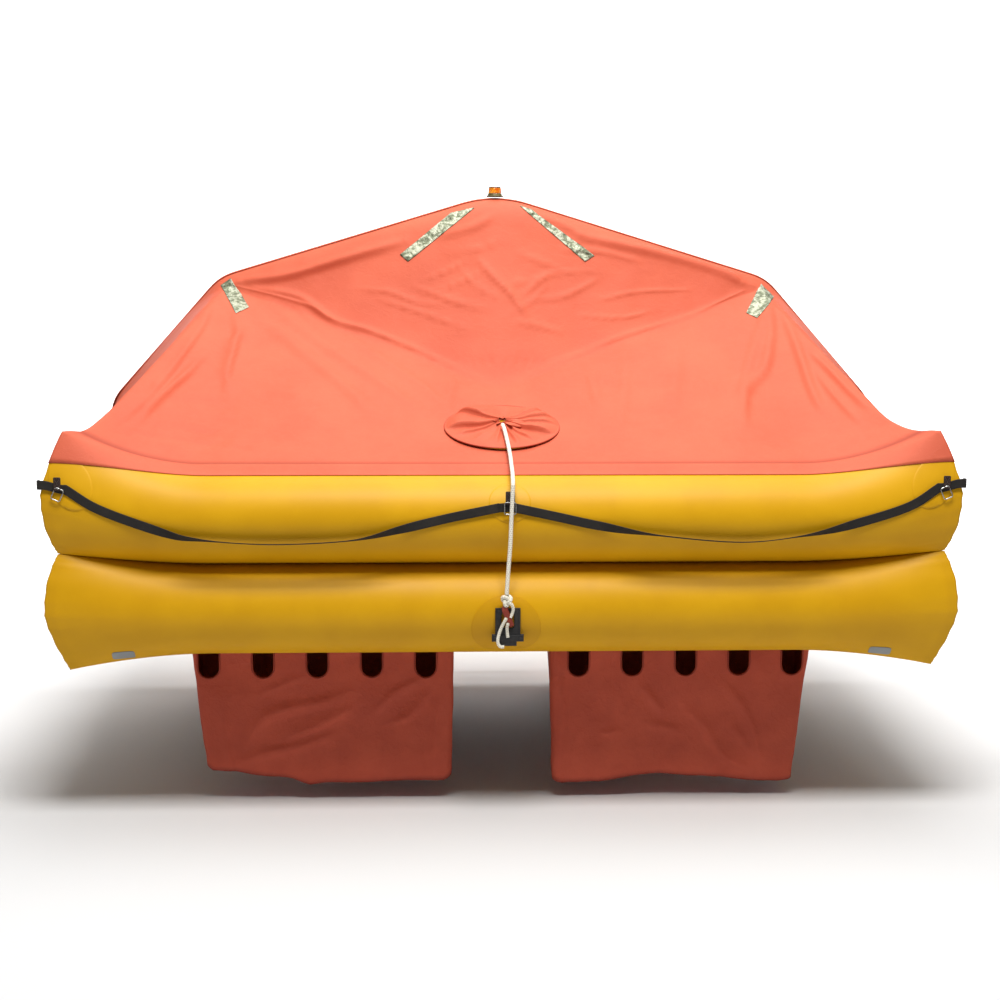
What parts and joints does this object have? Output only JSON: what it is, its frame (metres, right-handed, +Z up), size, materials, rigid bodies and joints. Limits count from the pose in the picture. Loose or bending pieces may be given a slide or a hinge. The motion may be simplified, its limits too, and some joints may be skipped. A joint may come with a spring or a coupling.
{
  "type": "inflatable life raft",
  "caption": "Rectangular inflatable life raft with an arched canopy, ballast bags, lifelines, boarding ladder and painter line.",
  "frame": {"origin": "at the waterline, in the middle of the raft's plan", "axes": "+X to the right of someone who looks at the raft's front, along its longer side; +Y from the front with the tow bracket to the rear with the entrance; +Z up"},
  "size_m": [2.5086, 1.8188, 1.7009],
  "materials": {
    "tube_fabric": "semi-gloss coated fabric",
    "canopy_fabric": "coated canopy cloth",
    "floor_fabric": "matt coated fabric",
    "bag_fabric": "thin coated cloth",
    "webbing": "woven webbing",
    "white_rope": "braided line",
    "red_webbing": "woven webbing",
    "black_plastic": "satin",
    "olive_plastic": "satin",
    "lamp_amber": "clear amber gloss",
    "painted_steel": "satin paint"
  },
  "bodies": {
    "root": {"arch_tube": "tube_fabric", "ballast_bag_front_left": "bag_fabric", "ballast_bag_front_right": "bag_fabric", "ballast_bag_rear_left": "bag_fabric", "ballast_bag_rear_right": "bag_fabric", "boarding_handle_left": "webbing", "boarding_handle_right": "webbing", "boarding_ladder": "webbing", "canopy_front": "canopy_fabric", "canopy_rear": "canopy_fabric", "door_roll": "canopy_fabric", "drogue_plate": "black_plastic", "floor": "floor_fabric", "gas_cylinder": "painted_steel", "gas_head": "black_plastic", "gas_strap_inner": "webbing", "gas_strap_outer": "webbing", "lamp_base": "olive_plastic", "lamp_dome": "lamp_amber", "lifeline_front_left": "webbing", "lifeline_front_right": "webbing", "lifeline_left": "webbing", "lifeline_rear_left": "webbing", "lifeline_rear_right": "webbing", "lifeline_right": "webbing", "lifeline_tab_front": "webbing", "lifeline_tab_front_left": "webbing", "lifeline_tab_front_right": "webbing", "lifeline_tab_ladder_left": "webbing", "lifeline_tab_ladder_right": "webbing", "lifeline_tab_rear_left": "webbing", "lifeline_tab_rear_right": "webbing", "lower_tube": "tube_fabric", "painter_knot": "white_rope", "painter_line": "white_rope", "painter_toggle": "red_webbing", "port_sleeve": "canopy_fabric", "relief_valve_lower": "black_plastic", "relief_valve_upper": "black_plastic", "righting_strap": "webbing", "topping_up_valve_lower": "black_plastic", "topping_up_valve_upper": "black_plastic", "tow_bracket": "black_plastic", "tow_patch": "tube_fabric", "upper_tube": "tube_fabric"}
  },
  "joints": []
}
